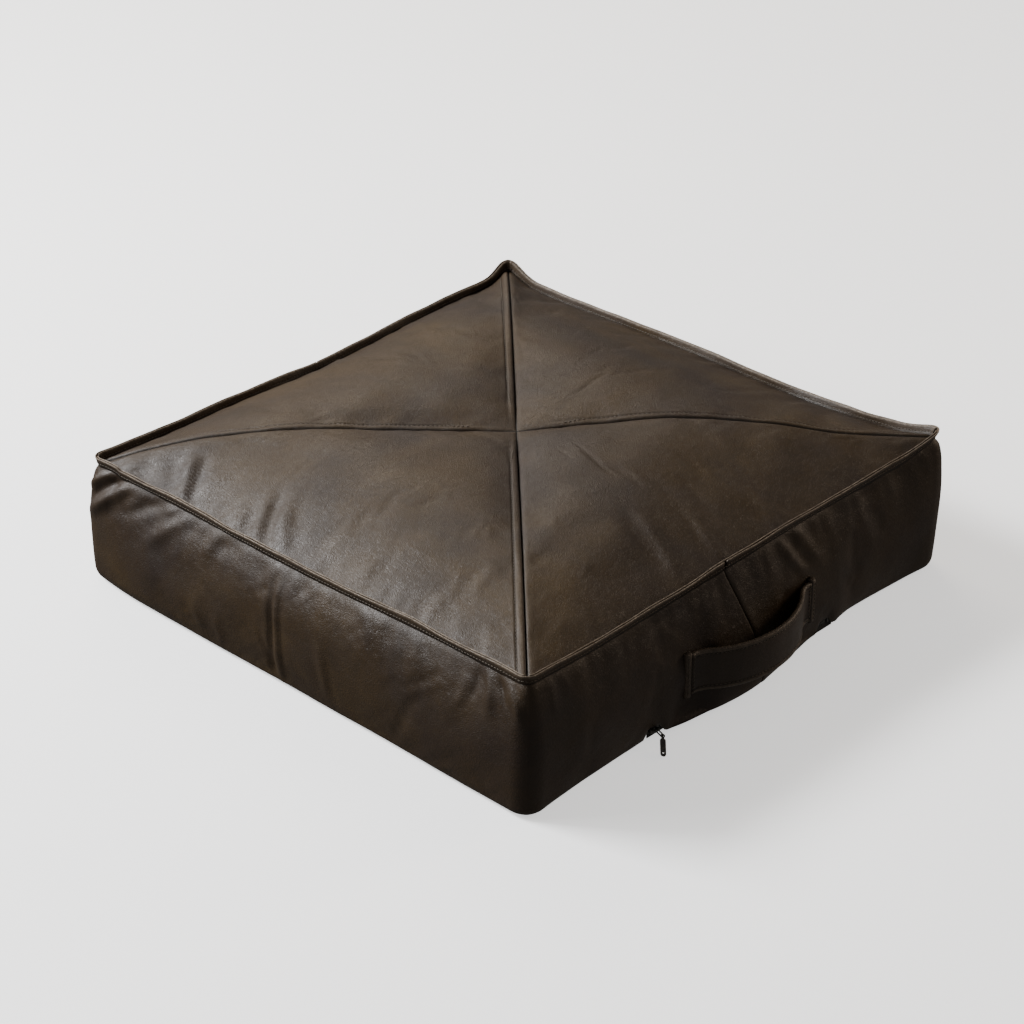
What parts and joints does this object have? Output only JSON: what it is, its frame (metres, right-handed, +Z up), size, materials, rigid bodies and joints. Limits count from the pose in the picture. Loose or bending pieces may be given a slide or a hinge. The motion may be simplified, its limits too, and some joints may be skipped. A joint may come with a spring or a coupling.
{
  "type": "floor cushion bean bag",
  "caption": "Low square leather floor cushion with a top pieced from four triangles, turned-up edge seams, a bead-filled liner, a swinging carry handle and a working zip pull.",
  "frame": {"origin": "centre of the base, on the floor", "axes": "+Z is up; -Y is the side with the carry handle and the zip; +X runs along that side, away from the closed end of the zip"},
  "size_m": [0.6142, 0.6502, 0.1728],
  "materials": {
    "cover_leather": "dark brown pull-up leather, satin, fine grain, with folds and lighter rubbed places",
    "handle_leather": "the same leather, smoother, with burnished edges",
    "thread": "waxed brown polyester thread",
    "webbing": "woven polyester webbing",
    "liner_cloth": "plain off-white cotton",
    "beads": "expanded polystyrene beads",
    "zip_tape": "black woven polyester tape",
    "zip_metal": "dark gunmetal plating, satin"
  },
  "bodies": {
    "cover": {"base_panel": "cover_leather", "side_band_left": "cover_leather", "side_band_right": "cover_leather", "top_panel_front": "cover_leather", "top_panel_right": "cover_leather", "top_panel_back": "cover_leather", "top_panel_left": "cover_leather", "cross_seam_stitching": "thread", "edge_flange_stitching": "thread", "handle_end_stitching": "thread", "liner_base_panel": "liner_cloth", "liner_top_panel": "liner_cloth", "liner_side_band": "liner_cloth", "liner_zip": "zip_tape", "bead_filling": "beads", "handle_end_left": "handle_leather", "handle_end_right": "handle_leather", "handle_backing_patches": "handle_leather", "zip_tape_lower": "zip_tape", "zip_tape_upper": "zip_tape", "zip_teeth_lower": "zip_metal", "zip_teeth_upper": "zip_metal", "zip_stops": "zip_metal"},
    "handle": {"handle_strap": "handle_leather", "handle_core": "webbing", "handle_edge_stitching": "thread"},
    "zip_slider": {"zip_slider": "zip_metal"},
    "zip_link": {"zip_link": "zip_metal"},
    "zip_puller": {"zip_puller": "zip_metal"}
  },
  "joints": [
    {"name": "handle_swing", "type": "hinge", "parent": "cover", "child": "handle", "pos_m": [0.002, -0.30703, 0.053], "axis": [-1, 0, 0], "range_deg": [-25, 25], "stiffness_Nm_per_rad": 0.2},
    {"name": "zip_slide", "type": "slide", "parent": "cover", "child": "zip_slider", "axis": [1, 0, 0], "range_m": [0, 0.255], "deforming": ["zip_teeth_lower", "zip_teeth_upper"]},
    {"name": "link_swing", "type": "hinge", "parent": "zip_slider", "child": "zip_link", "pos_m": [-0.132, -0.309, 0.011], "axis": [-1, 0, 0], "range_deg": [0, 100]},
    {"name": "puller_turn", "type": "hinge", "parent": "zip_link", "child": "zip_puller", "pos_m": [-0.132, -0.31675, 0.00803], "axis": [0, -0.3584, 0.9336], "range_deg": [-35, 125]}
  ]
}
